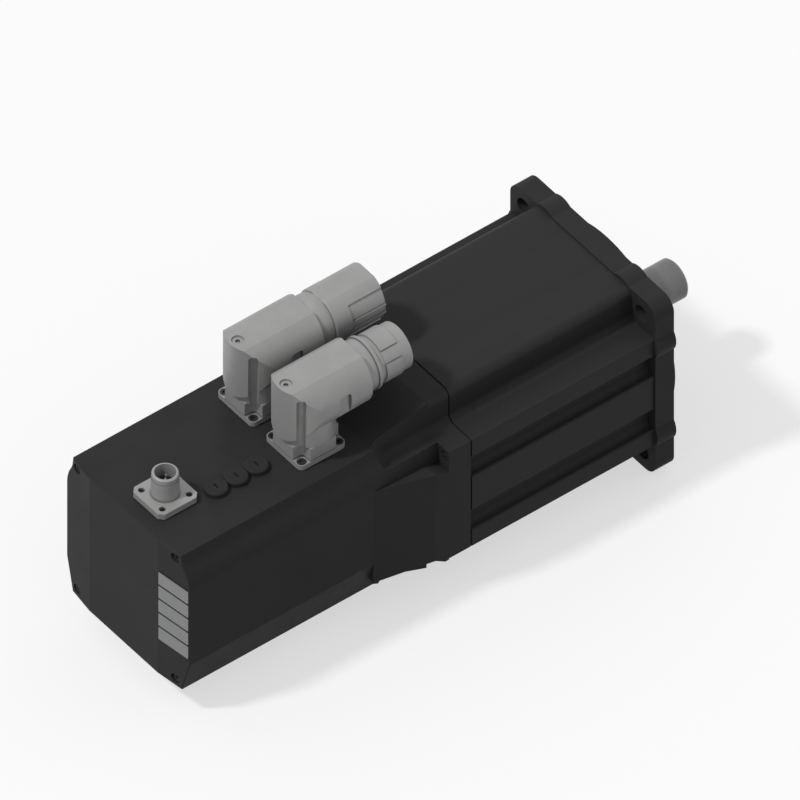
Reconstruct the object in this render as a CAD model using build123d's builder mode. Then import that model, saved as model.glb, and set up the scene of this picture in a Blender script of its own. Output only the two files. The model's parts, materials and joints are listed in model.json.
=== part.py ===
"""Integrated servo motor: a 100 mm flange motor with its drive electronics on the back.

Millimetres. +X runs along the shaft towards its free end, +Z is up, and the origin is the centre of the
flange's front mounting face.
"""

import math
import os

from build123d import *

# Mounting flange and shaft end, the common 100 mm servo pattern
flange_side = 100.0
flange_thickness = 10.0
flange_corner_radius = 7.0
flange_hole_inset = 9.34
flange_hole_diameter = 9.0
flange_rib_offset = 26.4
flange_rib_width = 10.2
flange_rib_height = 1.6
pilot_diameter = 95.0
pilot_height = 3.0
spigot_length = 4.0
spigot_wall = 4.0
shaft_diameter = 19.0
shaft_length = 40.0
edge_chamfer = 1.0

# Fits
locating_gap = 0.03
running_gap = 0.05
screw_gap = 0.1
loose_gap = 0.2

# How near a point lies to the corner that it marks
corner_reach = 0.01

# Heads of the screws inside
small_head_diameter = 5.5
low_head_height = 2.0
tie_head_diameter = 7.0
socket_share = 0.48
socket_depth_share = 0.6

# Motor body, an extrusion with two raised plateaus, four shelves and grooved sides
motor_width = 98.0
plateau_height = 49.2
plateau_half_width = 33.5
shelf_height = 32.0
plateau_fillet = 4.0
shelf_edge_fillet = 1.0
side_band_half_height = 10.0
side_groove_width = 11.8
side_groove_depth = 4.6
side_groove_fillet = 3.0
side_lip_fillet = 0.9
groove_floor_wall = 2.4
stator_bore = motor_width - 2 * (side_groove_depth + groove_floor_wall)
motor_rear_x = -107.8
gasket_thickness = 0.8
gasket_inset = 0.8

# Screws that tie the motor body to the flange
tie_screw_diameter = 4.0
tie_screw_y = 28.0
tie_screw_z = 42.0
tie_screw_reach = 7.0

# Electromagnetic parts
core_front_x = -30.0
core_length = 62.0
tooth_count = 12
tooth_width = 7.0
tooth_tip_height = 2.0
slot_opening = 2.5
yoke_width = 4.0
air_gap_diameter = 50.0
coil_wall = 3.5
coil_gap = 0.3
coil_tip_gap = 3.0
coil_yoke_gap = 1.0
rotor_seat_diameter = 24.0
shoulder_height = 2.5
magnet_count = 10
magnet_thickness = 2.9
magnet_gap = 1.6
air_gap = 0.6

# Bearings: bore, outside diameter, width and ball diameter
front_bearing = {"bore": 20.0, "outside": 47.0, "width": 14.0, "ball": 7.94}
rear_bearing = {"bore": 15.0, "outside": 35.0, "width": 11.0, "ball": 5.95}
ball_count = 8
race_share = 0.27
cage_share = 0.28
cage_rim = 0.6
front_bearing_x = -5.5
rear_bearing_x = -101.5
seal_outside = 35.0
seal_depth = 7.0
seal_lip_width = 2.0
bearing_wall = 7.5
retainer_thickness = 2.0
retainer_relief = 4.0
retainer_screw_diameter = 3.0
retainer_screw_length = 8.0
wave_spring_height = 1.5

# Rear end bell
bell_front_x = -104.0
bell_rear_x = -112.0
bell_hub_front_x = -100.0
bell_hub_wall = 6.5
bell_hub_rear_wall = 3.0
bell_screw_inset = 5.0
bell_screw_diameter = 3.0
bell_screw_length = 14.0

# Motor leads
lead_diameter = 2.4
lead_spacing = 5.0

# Encoder on the shaft's tail
tail_diameter = 10.0
tail_end_x = -128.0
encoder_hub_x = -121.0
encoder_hub_length = 5.0
encoder_disc_diameter = 36.0
encoder_disc_thickness = 1.0
encoder_board_x = -130.4
encoder_board_diameter = 58.0
encoder_post_radius = 26.8
encoder_post_diameter = 5.0
encoder_screw_grip = 6.0
read_head_length = 7.0
read_head_width = 9.0
read_head_gap = 0.8
read_head_inset = 3.5
board_thickness = 1.6

# Drive housing, a casting that narrows from the motor's outline to a box
board_clearance = 1.0
lead_clearance = 2.0
ear_rear_x = -120.2
box_front_x = -152.3
cover_front_x = -252.0
rear_x = -257.0
box_top = 44.0
box_bottom = -36.0
box_corner_half = 37.5
box_side_half = 42.4
box_side_top = 26.0
box_side_bottom = -18.0
box_wall = 3.5
cavity_front_x = -156.0
waist_half = 40.4
waist_bulge = 0.6
waist_drop = 8.0
cheek_flat_x = -127.5
cheek_tail_x = -155.7
cheek_top = 23.0
cheek_bottom = -28.4
cheek_slope = 2.0
cheek_depth = 20.0
ear_drop = 2.8
scoop_end_x = -148.0
scoop_lean = 0.5
scoop_radius = 8.0
scoop_reach = 30.0
scoop_length = 60.0
scoop_rise = 20.0
ear_screw_diameter = 3.0
ear_screw_y = 44.7
ear_screw_z = 28.0
ear_screw_length = 20.0
pocket_lip = 1.6
pocket_inset = 0.9
pocket_rise = 3.6

# Rear cover
facet_start = 23.5
facet_drop = 2.5
cover_screw_diameter = 2.5
cover_head_diameter = 4.5
cover_head_height = 1.6
cover_screw_y = 33.8
cover_screw_top = 40.3
cover_screw_bottom = -31.7
cover_bore_diameter = 5.0
cover_bore_depth = 4.0
cover_rim = 1.0
cover_seal_thickness = 0.6
cover_seal_width = 1.2
boss_diameter = 7.2
boss_length = 14.0
bar_count = 5
bar_height = 7.7
bar_pitch = 8.2
bar_thickness = 0.8
bar_sink = 0.5
bar_margin = 0.25
bar_corner = 0.8
bars_mid_z = 5.5

# Round socket on top of the box
io_x = -239.0
io_y = -5.7
io_flange_side = 21.2
io_flange_thickness = 3.0
io_corner_chamfer = 2.2
io_seal_thickness = 0.4
io_barrel_diameter = 12.2
io_collar_diameter = 11.7
io_collar_height = 2.85
io_height = 15.7
io_bore = 9.5
io_hole_pitch = 14.4
io_hole_diameter = 3.0
io_pin_diameter = 1.0
io_pin_circle = 5.6
io_pin_reach = 2.5
io_face_depth = 7.0
io_rear_reach = 2.5
io_screw_diameter = 2.0
io_screw_head = 2.8
io_head_height = 1.2
io_head_sink = 1.8

# Service caps
cap_count = 3
cap_mid_x = -208.35
cap_y = -15.3
cap_pitch = 10.85
cap_diameter = 10.7
cap_height = 2.6
cap_thread_diameter = 8.0
cap_slot_length = 3.2
cap_slot_width = 0.8

# Right-angle connectors, power on the far side and signal on the near side
swivel_x = -172.0
swivel_y = 16.6
base_side = 25.0
base_corner_radius = 2.5
base_seal_thickness = 0.4
base_plate_thickness = 2.6
block_half = 12.2
block_arm_half = 6.8
block_corner_radius = 2.0
block_height = 7.0
base_screw_pitch = 19.8
base_screw_diameter = 2.5
base_screw_head = 4.2
base_head_height = 1.3
stub_diameter = 16.0
stub_length = 9.0
clip_thickness = 1.0
clip_reach = 1.6
clip_pocket_gap = 1.0
wire_hole_diameter = 12.0
neck_radius = 12.9
neck_gap = 0.1
barrel_rise = 26.0
barrel_radius = 14.65
barrel_roof = 13.4
barrel_roof_half = 7.0
barrel_rear_drop = 1.45
barrel_front_drop = 0.1
barrel_front_x = -147.2
flute_radius = 2.2
flute_rise = 10.5
side_recess_x = -161.6
side_recess_length = 6.2
side_recess_height = 13.0
side_recess_drop = 2.5
side_recess_depth = 1.5
top_recess_offset = 10.6
top_recess_diameter = 5.6
top_recess_depth = 2.2
top_screw_length = 5.0
top_head_height = 1.4

# Power connector's mouth and coupling nut
power_neck_radii = (12.0, 12.9, 12.4)
nut_rear_x = -139.5
nut_front_x = -113.0
nut_radius = 13.4
nut_flat_rise = 12.5
nut_recess_x = -130.8
nut_recess_depth = 0.7
nut_recess_angles = ((45, 79), (82, 98), (101, 135))
power_tube_radius = 11.4
power_tube_wall = 1.4
power_tube_set_back = 3.0
power_pin_diameter = 2.0
power_pin_circle = 11.0
power_pin_count = 6

# Signal connector's mouth and locking sleeve
collar_radius = 12.0
collar_lip_radius = 12.6
collar_lip_x = -141.5
collar_lip_width = 1.5
sleeve_groove_radius = 10.9
sleeve_rear_x = -137.0
sleeve_front_x = -122.5
sleeve_radius = 11.0
pad_radius = 11.7
pad_front_x = -128.0
pad_angle = 86.7
pad_turns = (-10, 110, 230)
signal_tube_radius = 9.6
signal_tube_wall = 1.4
signal_tube_set_back = 1.5
signal_pin_diameter = 1.0
signal_pin_circle = 10.0
signal_pin_count = 8
insert_recess = 10.0
pin_reach = 6.0

# Electronics
power_board_z = -27.0
control_board_z = 26.0
board_rear_x = -246.0
board_front_x = -166.0
board_half_width = 33.0
post_diameter = 6.0
post_screw_diameter = 3.0
board_screw_inset = 7.0
capacitor_diameter = 18.0
capacitor_height = 30.0
capacitor_pitch = 20.0
capacitor_count = 3
module_length = 40.0
module_width = 28.0
terminal_height = 9.0
terminal_length = 10.0
lead_rise = 6.0
lead_bend_radius = 6.0

os.makedirs("parts", exist_ok=True)


def keep(piece, name):
    """Label a finished piece and write it as its own file."""
    piece.part.label = name
    export_step(piece.part, f"parts/{name}.step")


def ring(x_rear, x_front, outer, inner, hole_circle=0.0, hole_diameter=0.0, hole_start=0.0):
    """A ring about the shaft axis, with three screw holes where a hole circle is given."""
    with BuildPart() as piece:
        with BuildSketch(Plane.YZ.offset(x_rear)):
            Circle(outer / 2)
            Circle(inner / 2, mode=Mode.SUBTRACT)
            if hole_circle:
                with PolarLocations(hole_circle / 2, 3, start_angle=hole_start):
                    Circle(hole_diameter / 2, mode=Mode.SUBTRACT)
        extrude(amount=x_front - x_rear)
    return piece


def cap_screw(head_plane, diameter, length, head_diameter, head_height):
    """A socket head screw: its head stands on head_plane, its shank points the other way."""
    with BuildPart() as screw:
        with BuildSketch(head_plane):
            Circle(head_diameter / 2)
        extrude(amount=head_height)
        with BuildSketch(head_plane):
            Circle(diameter / 2)
        extrude(amount=-length)
        with BuildSketch(head_plane.offset(head_height)):
            RegularPolygon(diameter * socket_share, 6)
        extrude(amount=-head_height * socket_depth_share, mode=Mode.SUBTRACT)
    return screw


def screw_set(planes, diameter, length, head_diameter, head_height):
    """Identical screws, one on each plane, as one group of solids."""
    with BuildPart() as group:
        for plane in planes:
            add(cap_screw(plane, diameter, length, head_diameter, head_height).part)
    return group


def four_corners(half_y, half_z):
    """The four points of a rectangle centred on the shaft axis."""
    return [(sy * half_y, sz * half_z) for sy in (-1, 1) for sz in (-1, 1)]


def facing(x, y, z, direction):
    """A plane at a point, facing along one of the axes."""
    return Plane(origin=(x, y, z), z_dir=direction)


# Cross-section of the motor
def motor_section(grooved):
    """The motor's outline, seen along the shaft, with or without the side grooves."""
    with BuildSketch() as section:
        Rectangle(motor_width, 2 * shelf_height)
        Rectangle(2 * plateau_half_width, 2 * plateau_height)
        plateau_corners = [v for v in section.vertices() if abs(abs(v.X) - plateau_half_width) < corner_reach]
        fillet(plateau_corners, radius=plateau_fillet)
        shelf_corners = [v for v in section.vertices() if abs(abs(v.X) - motor_width / 2) < corner_reach]
        fillet(shelf_corners, radius=shelf_edge_fillet)
        if grooved:
            groove_mid = side_band_half_height + side_groove_width / 2
            with GridLocations(motor_width - side_groove_depth, 2 * groove_mid, 2, 2):
                Rectangle(side_groove_depth, side_groove_width, mode=Mode.SUBTRACT)
            floor_y = motor_width / 2 - side_groove_depth
            floor_corners = [v for v in section.vertices() if abs(abs(v.X) - floor_y) < corner_reach]
            fillet(floor_corners, radius=side_groove_fillet)
            band_top = side_band_half_height + side_groove_width + locating_gap
            lips = [v for v in section.vertices() if abs(abs(v.X) - motor_width / 2) < corner_reach]
            fillet([v for v in lips if abs(v.Y) < band_top], radius=side_lip_fillet)
    return section.sketch


# Mounting flange with the pilot, the seal bore and the front bearing seat
flange_hole_half = flange_side / 2 - flange_hole_inset
flange_rib_radius = (flange_rib_width**2 / 4 + flange_rib_height**2) / (2 * flange_rib_height)
rib_centre = flange_side / 2 + flange_rib_height - flange_rib_radius
front_bearing_rear_x = front_bearing_x - front_bearing["width"]
flange_hub_diameter = front_bearing["outside"] + 2 * bearing_wall
retainer_circle = front_bearing["outside"] + bearing_wall
seal_rear_x = pilot_height - seal_depth
with BuildPart() as mounting_flange:
    with BuildSketch(Plane.YZ.offset(-flange_thickness)):
        RectangleRounded(flange_side, flange_side, flange_corner_radius)
        with GridLocations(2 * flange_rib_offset, 2 * rib_centre, 2, 2):
            Circle(flange_rib_radius)
        with GridLocations(2 * rib_centre, 2 * flange_rib_offset, 2, 2):
            Circle(flange_rib_radius)
    extrude(amount=flange_thickness)
    with BuildSketch(Plane.YZ):
        Circle(pilot_diameter / 2)
    extrude(amount=pilot_height)
    chamfer(mounting_flange.faces().sort_by(Axis.X)[-1].edges(), length=edge_chamfer / 2)
    with BuildSketch(Plane.YZ.offset(-flange_thickness)):
        Circle(flange_hub_diameter / 2)
    extrude(amount=front_bearing_rear_x + flange_thickness)
    with BuildSketch(Plane.YZ.offset(-flange_thickness)):
        Circle(stator_bore / 2 - locating_gap)
        Circle(stator_bore / 2 - spigot_wall, mode=Mode.SUBTRACT)
    extrude(amount=-spigot_length)
    with BuildSketch(Plane.YZ.offset(pilot_height)):
        Circle(seal_outside / 2)
    extrude(amount=-seal_depth, mode=Mode.SUBTRACT)
    with BuildSketch(Plane.YZ.offset(seal_rear_x)):
        Circle(seal_outside / 2 - bearing_wall / 2)
    extrude(amount=front_bearing_x - seal_rear_x, mode=Mode.SUBTRACT)
    with BuildSketch(Plane.YZ.offset(front_bearing_x)):
        Circle(front_bearing["outside"] / 2 + locating_gap)
    extrude(amount=-front_bearing["width"], mode=Mode.SUBTRACT)
    with BuildSketch(Plane.YZ):
        with GridLocations(2 * flange_hole_half, 2 * flange_hole_half, 2, 2):
            Circle(flange_hole_diameter / 2)
    extrude(amount=-flange_thickness, mode=Mode.SUBTRACT)
    with BuildSketch(Plane.YZ.offset(-flange_thickness)):
        with GridLocations(2 * tie_screw_y, 2 * tie_screw_z, 2, 2):
            Circle(tie_screw_diameter / 2 + screw_gap)
    extrude(amount=tie_screw_reach, mode=Mode.SUBTRACT)
    with BuildSketch(Plane.YZ.offset(front_bearing_rear_x)):
        with PolarLocations(retainer_circle / 2, 3):
            Circle(retainer_screw_diameter / 2 + screw_gap)
    extrude(amount=retainer_screw_length, mode=Mode.SUBTRACT)
keep(mounting_flange, "mounting_flange")

# Radial shaft seal, a channel with a lip that runs on the shaft
seal_land = front_bearing["bore"]
with BuildPart() as shaft_seal:
    with BuildSketch(Plane.XZ):
        with BuildLine():
            Polyline(
                (seal_rear_x, seal_outside / 2 - locating_gap),
                (pilot_height - edge_chamfer, seal_outside / 2 - locating_gap),
                (pilot_height - edge_chamfer, seal_land / 2 + running_gap + seal_lip_width),
                (pilot_height - 2 * edge_chamfer, seal_land / 2 + running_gap),
                (pilot_height - 2 * edge_chamfer - seal_lip_width, seal_land / 2 + running_gap),
                (pilot_height - 2 * edge_chamfer - seal_lip_width, seal_outside / 2 - seal_lip_width),
                (seal_rear_x, seal_outside / 2 - seal_lip_width),
                close=True,
            )
        make_face()
    revolve(axis=Axis.X)
keep(shaft_seal, "shaft_seal")


# Deep groove ball bearings
def race(spec, front_x, outer, inner):
    """One race, with the groove that its balls run in."""
    pitch_radius = (spec["bore"] + spec["outside"]) / 4
    with BuildPart() as piece:
        with BuildSketch(Plane.YZ.offset(front_x - spec["width"])):
            Circle(outer / 2)
            Circle(inner / 2, mode=Mode.SUBTRACT)
        extrude(amount=spec["width"])
        with BuildSketch(Plane.XZ):
            with Locations((front_x - spec["width"] / 2, pitch_radius)):
                Circle(spec["ball"] / 2 + running_gap)
        revolve(axis=Axis.X, mode=Mode.SUBTRACT)
    return piece


def caged_balls(spec, front_x):
    """The balls and the cage that spaces them, as one group of solids."""
    pitch_radius = (spec["bore"] + spec["outside"]) / 4
    ball_radius = spec["ball"] / 2
    middle = Plane(origin=(front_x - spec["width"] / 2, 0, 0), z_dir=(1, 0, 0))
    with BuildPart() as group:
        with BuildSketch(middle.offset(-ball_radius - cage_rim)):
            Circle(pitch_radius + ball_radius * cage_share)
            Circle(pitch_radius - ball_radius * cage_share, mode=Mode.SUBTRACT)
        extrude(amount=2 * ball_radius + 2 * cage_rim)
        for ball in range(ball_count):
            turn = 2 * math.pi * ball / ball_count
            with BuildSketch(Plane(origin=middle.origin, z_dir=(0, math.cos(turn), math.sin(turn)))):
                Circle(ball_radius + screw_gap)
        extrude(amount=pitch_radius + ball_radius, mode=Mode.SUBTRACT)
        with Locations(middle):
            with PolarLocations(pitch_radius, ball_count):
                Sphere(ball_radius)
    return group


def bearing_pieces(spec, front_x, name):
    """Outer race, inner race, and the balls with their cage."""
    race_wall = (spec["outside"] - spec["bore"]) / 2 * race_share
    outer = race(spec, front_x, spec["outside"], spec["outside"] - 2 * race_wall)
    inner = race(spec, front_x, spec["bore"] + 2 * race_wall, spec["bore"] + 2 * locating_gap)
    keep(outer, f"{name}_outer_race")
    keep(inner, f"{name}_inner_race")
    keep(caged_balls(spec, front_x), f"{name}_cage")


bearing_pieces(front_bearing, front_bearing_x, "front_bearing")
bearing_pieces(rear_bearing, rear_bearing_x, "rear_bearing")

# Retainer that holds the front bearing in its seat
retainer_rear_x = front_bearing_rear_x - retainer_thickness
retainer_bore = front_bearing["outside"] - 2 * (bearing_wall - retainer_relief)
bearing_retainer = ring(
    retainer_rear_x,
    front_bearing_rear_x,
    flange_hub_diameter,
    retainer_bore,
    hole_circle=retainer_circle,
    hole_diameter=retainer_screw_diameter + 2 * screw_gap,
)
keep(bearing_retainer, "bearing_retainer")

retainer_planes = []
for turn in (0, 120, 240):
    angle = math.radians(turn)
    y = retainer_circle / 2 * math.cos(angle)
    z = retainer_circle / 2 * math.sin(angle)
    retainer_planes.append(facing(retainer_rear_x, y, z, (-1, 0, 0)))
retainer_screws = screw_set(
    retainer_planes, retainer_screw_diameter, retainer_screw_length, small_head_diameter, low_head_height
)
keep(retainer_screws, "retainer_screws")

# Finned motor body
with BuildPart() as stator_housing:
    with BuildSketch(Plane.YZ.offset(motor_rear_x)):
        add(motor_section(grooved=True))
        Circle(stator_bore / 2, mode=Mode.SUBTRACT)
    extrude(amount=-flange_thickness - motor_rear_x)
    with BuildSketch(Plane.YZ.offset(motor_rear_x)):
        with GridLocations(2 * tie_screw_y, 2 * tie_screw_z, 2, 2):
            Circle(tie_screw_diameter / 2 + screw_gap)
    extrude(amount=-flange_thickness - motor_rear_x, mode=Mode.SUBTRACT)
    with BuildSketch(Plane.YZ.offset(motor_rear_x)):
        with GridLocations(2 * tie_screw_y, 2 * tie_screw_z, 2, 2):
            Circle(tie_screw_diameter)
    extrude(amount=tie_screw_diameter + loose_gap, mode=Mode.SUBTRACT)
    with BuildSketch(Plane.YZ.offset(motor_rear_x)):
        with GridLocations(2 * ear_screw_y, 2 * ear_screw_z, 2, 2):
            Circle(ear_screw_diameter / 2 + screw_gap)
    extrude(amount=ear_screw_length, mode=Mode.SUBTRACT)
keep(stator_housing, "stator_housing")

tie_head_x = motor_rear_x + tie_screw_diameter + loose_gap
tie_length = -flange_thickness - tie_head_x + tie_screw_reach - loose_gap
tie_planes = [facing(tie_head_x, y, z, (-1, 0, 0)) for y, z in four_corners(tie_screw_y, tie_screw_z)]
stator_tie_screws = screw_set(
    tie_planes, tie_screw_diameter, tie_length, tie_head_diameter, tie_screw_diameter
)
keep(stator_tie_screws, "stator_tie_screws")

# Laminated stator core with parallel teeth
air_gap_radius = air_gap_diameter / 2
yoke_inner_radius = stator_bore / 2 - yoke_width
core_rear_x = core_front_x - core_length
tooth_length = yoke_inner_radius - air_gap_radius
with BuildPart() as stator_core:
    with BuildSketch(Plane.YZ.offset(core_rear_x)):
        Circle(stator_bore / 2 - locating_gap)
        Circle(yoke_inner_radius, mode=Mode.SUBTRACT)
        with PolarLocations(air_gap_radius + tooth_length / 2, tooth_count):
            Rectangle(tooth_length + yoke_width / 2, tooth_width)
        Circle(air_gap_radius + tooth_tip_height)
        Circle(air_gap_radius, mode=Mode.SUBTRACT)
        with PolarLocations(air_gap_radius + tooth_tip_height / 2, tooth_count, 180 / tooth_count):
            Rectangle(3 * tooth_tip_height, slot_opening, mode=Mode.SUBTRACT)
    extrude(amount=core_length)
keep(stator_core, "stator_core")

# Coils, one round each tooth
coil_inner_radius = air_gap_radius + coil_tip_gap
coil_height = yoke_inner_radius - coil_yoke_gap - coil_inner_radius
coil_width = tooth_width + 2 * coil_gap + 2 * coil_wall - loose_gap
coil_length = core_length + 2 * coil_gap + 2 * coil_wall
with BuildPart() as coil:
    with BuildSketch(Plane.XY.offset(coil_inner_radius)):
        with Locations((core_front_x - core_length / 2, 0)):
            RectangleRounded(coil_length, coil_width, coil_wall)
            Rectangle(core_length + 2 * coil_gap, tooth_width + 2 * coil_gap, mode=Mode.SUBTRACT)
    extrude(amount=coil_height)
with BuildPart() as stator_coils:
    for step in range(tooth_count):
        add(coil.part.rotate(Axis.X, 360 / tooth_count * step))
keep(stator_coils, "stator_coils")

# The leads lie inside the lowest coil, and the housing is bored clear of them and of the encoder board
lead_z = lead_diameter / 2 - coil_inner_radius
housing_bore = 2 * max(coil_inner_radius + lead_clearance, encoder_board_diameter / 2 + board_clearance)

# Stepped motor shaft
front_shoulder = front_bearing["bore"] + 2 * shoulder_height
rear_shoulder = rear_bearing["bore"] + 2 * shoulder_height
rear_bearing_rear_x = rear_bearing_x - rear_bearing["width"]
with BuildPart() as motor_shaft:
    with BuildSketch(Plane.XZ):
        with BuildLine():
            Polyline(
                (shaft_length, 0),
                (shaft_length, shaft_diameter / 2 - edge_chamfer),
                (shaft_length - edge_chamfer, shaft_diameter / 2),
                (pilot_height + edge_chamfer, shaft_diameter / 2),
                (pilot_height, seal_land / 2),
                (front_bearing_rear_x, seal_land / 2),
                (front_bearing_rear_x, front_shoulder / 2),
                (core_front_x, front_shoulder / 2),
                (core_front_x, rotor_seat_diameter / 2),
                (core_rear_x, rotor_seat_diameter / 2),
                (core_rear_x, rear_shoulder / 2),
                (rear_bearing_x, rear_shoulder / 2),
                (rear_bearing_x, rear_bearing["bore"] / 2),
                (encoder_hub_x, rear_bearing["bore"] / 2),
                (encoder_hub_x, tail_diameter / 2),
                (tail_end_x, tail_diameter / 2),
                (tail_end_x, 0),
                close=True,
            )
        make_face()
    revolve(axis=Axis.X)
keep(motor_shaft, "motor_shaft")

# Rotor core and its surface magnets
magnet_outer_radius = air_gap_radius - air_gap
rotor_core_radius = magnet_outer_radius - magnet_thickness
rotor_core = ring(core_rear_x, core_front_x, 2 * rotor_core_radius, rotor_seat_diameter + 2 * locating_gap)
keep(rotor_core, "rotor_core")

with BuildPart() as rotor_magnets:
    with BuildSketch(Plane.YZ.offset(core_rear_x + edge_chamfer)):
        Circle(magnet_outer_radius)
        Circle(rotor_core_radius + locating_gap, mode=Mode.SUBTRACT)
        with PolarLocations(magnet_outer_radius, magnet_count):
            Rectangle(4 * magnet_thickness, magnet_gap, mode=Mode.SUBTRACT)
    extrude(amount=core_length - 2 * edge_chamfer)
keep(rotor_magnets, "rotor_magnets")

# Wave spring behind the rear bearing
spring_rear_x = rear_bearing_rear_x - wave_spring_height
wave_spring = ring(
    spring_rear_x,
    rear_bearing_rear_x,
    rear_bearing["outside"] - 2 * loose_gap,
    rear_bearing["outside"] - bearing_wall,
)
keep(wave_spring, "wave_spring")

# Rear end bell with the rear bearing seat
bell_hub_diameter = rear_bearing["outside"] + 2 * bell_hub_wall
bell_hub_rear_x = spring_rear_x - bell_hub_rear_wall
bell_screw_circle = stator_bore - 2 * bell_screw_inset
bell_turns = (45, 135, 225, 315)
with BuildPart() as rear_end_bell:
    with BuildSketch(Plane.YZ.offset(bell_rear_x)):
        Circle(stator_bore / 2 - locating_gap)
    extrude(amount=bell_front_x - bell_rear_x)
    with BuildSketch(Plane.YZ.offset(bell_hub_rear_x)):
        Circle(bell_hub_diameter / 2)
    extrude(amount=bell_hub_front_x - bell_hub_rear_x)
    with BuildSketch(Plane.YZ.offset(spring_rear_x)):
        Circle(rear_bearing["outside"] / 2 + locating_gap)
    extrude(amount=bell_hub_front_x - spring_rear_x, mode=Mode.SUBTRACT)
    with BuildSketch(Plane.YZ.offset(bell_hub_rear_x)):
        Circle(rear_bearing["bore"] / 2 + edge_chamfer)
    extrude(amount=bell_hub_rear_wall, mode=Mode.SUBTRACT)
    with BuildSketch(Plane.YZ.offset(bell_rear_x)):
        with PolarLocations(bell_screw_circle / 2, 4, start_angle=45):
            Circle(bell_screw_diameter / 2 + screw_gap)
        with PolarLocations(encoder_post_radius, 3, start_angle=90):
            Circle(bell_screw_diameter / 2 + screw_gap)
    extrude(amount=bell_front_x - bell_rear_x, mode=Mode.SUBTRACT)
    with BuildSketch(Plane.YZ.offset(bell_hub_rear_x)):
        with Locations((0, lead_z)):
            with GridLocations(lead_spacing, 0, 3, 1):
                Circle(lead_diameter / 2 + loose_gap)
    extrude(amount=bell_hub_front_x - bell_hub_rear_x, mode=Mode.SUBTRACT)
keep(rear_end_bell, "rear_end_bell")

bell_planes = []
for turn in bell_turns:
    y = bell_screw_circle / 2 * math.cos(math.radians(turn))
    z = bell_screw_circle / 2 * math.sin(math.radians(turn))
    bell_planes.append(facing(bell_front_x, y, z, (1, 0, 0)))
bell_screws = screw_set(
    bell_planes, bell_screw_diameter, bell_screw_length, small_head_diameter, bell_screw_diameter
)
keep(bell_screws, "bell_screws")

# Encoder: hub, disc and clamp on the shaft's tail, board with its reading head on three posts
encoder_disc_x = encoder_hub_x - encoder_hub_length
encoder_disc_rear_x = encoder_disc_x - encoder_disc_thickness
with BuildPart() as encoder_wheel:
    with BuildSketch(Plane.YZ.offset(encoder_disc_x)):
        Circle(tail_diameter)
    extrude(amount=encoder_hub_length)
    with BuildSketch(Plane.YZ.offset(encoder_disc_rear_x)):
        Circle(encoder_disc_diameter / 2)
    extrude(amount=encoder_disc_thickness)
    with BuildSketch(Plane.YZ.offset(encoder_disc_rear_x)):
        Circle(tail_diameter / 2 + locating_gap)
    extrude(amount=encoder_hub_length + encoder_disc_thickness, mode=Mode.SUBTRACT)
keep(encoder_wheel, "encoder_wheel")

encoder_board_rear_x = encoder_board_x - board_thickness
encoder_rim = encoder_board_diameter / 2
lead_notch_width = 2 * lead_spacing + 3 * lead_diameter
lead_notch_height = 2 * (encoder_rim + lead_z + lead_diameter)
read_head_radius = encoder_disc_diameter / 2 - read_head_inset
with BuildPart() as encoder_board:
    with BuildSketch(Plane.YZ.offset(encoder_board_rear_x)):
        Circle(encoder_rim)
        Circle(tail_diameter / 2, mode=Mode.SUBTRACT)
        with PolarLocations(encoder_post_radius, 3, start_angle=90):
            Circle(bell_screw_diameter / 2 + screw_gap, mode=Mode.SUBTRACT)
        with Locations((0, -encoder_rim)):
            Rectangle(lead_notch_width, lead_notch_height, mode=Mode.SUBTRACT)
    extrude(amount=board_thickness)
    with BuildSketch(Plane.YZ.offset(encoder_board_x)):
        with Locations((-read_head_radius, 0)):
            Rectangle(read_head_length, read_head_width)
    extrude(amount=encoder_disc_rear_x - read_head_gap - encoder_board_x)
keep(encoder_board, "encoder_board")

with BuildPart() as encoder_posts:
    with BuildSketch(Plane.YZ.offset(encoder_board_x)):
        with PolarLocations(encoder_post_radius, 3, start_angle=90):
            Circle(encoder_post_diameter / 2)
            Circle(bell_screw_diameter / 2 + screw_gap, mode=Mode.SUBTRACT)
    extrude(amount=bell_rear_x - encoder_board_x)
keep(encoder_posts, "encoder_posts")

post_planes = []
for turn in (90, 210, 330):
    y = encoder_post_radius * math.cos(math.radians(turn))
    z = encoder_post_radius * math.sin(math.radians(turn))
    post_planes.append(facing(encoder_board_rear_x, y, z, (-1, 0, 0)))
encoder_screw_length = bell_rear_x - encoder_board_rear_x + encoder_screw_grip
encoder_screws = screw_set(
    post_planes, bell_screw_diameter, encoder_screw_length, small_head_diameter, low_head_height
)
keep(encoder_screws, "encoder_screws")


# Drive housing
def box_section(corner_half, side_half, top, side_top, side_bottom, bottom, foot_half):
    """Outline of the drive housing, seen along the shaft: its sides bulge below the top corners."""
    middle = ((corner_half + side_half) / 2, (top + side_top) / 2)
    with BuildSketch() as section:
        with BuildLine():
            Line((0, top), (corner_half, top))
            upper_arc = TangentArc((corner_half, top), middle, tangent=(0, -1))
            TangentArc(middle, (side_half, side_top), tangent=upper_arc % 1)
            Polyline((side_half, side_top), (side_half, side_bottom), (foot_half, bottom), (0, bottom))
            mirror(about=Plane.YZ)
        make_face()
    return section.sketch


def box_outline():
    """The box part of the drive housing, which the rear cover shares."""
    return box_section(
        box_corner_half, box_side_half, box_top, box_side_top, box_side_bottom, box_bottom, box_corner_half
    )


def waist_outline():
    """The housing just behind the ears, before the scoops are cut."""
    return box_section(
        waist_half,
        waist_half + waist_bulge,
        plateau_height,
        shelf_height - waist_drop,
        -shelf_height + waist_drop,
        -plateau_height,
        waist_half,
    )


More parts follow.
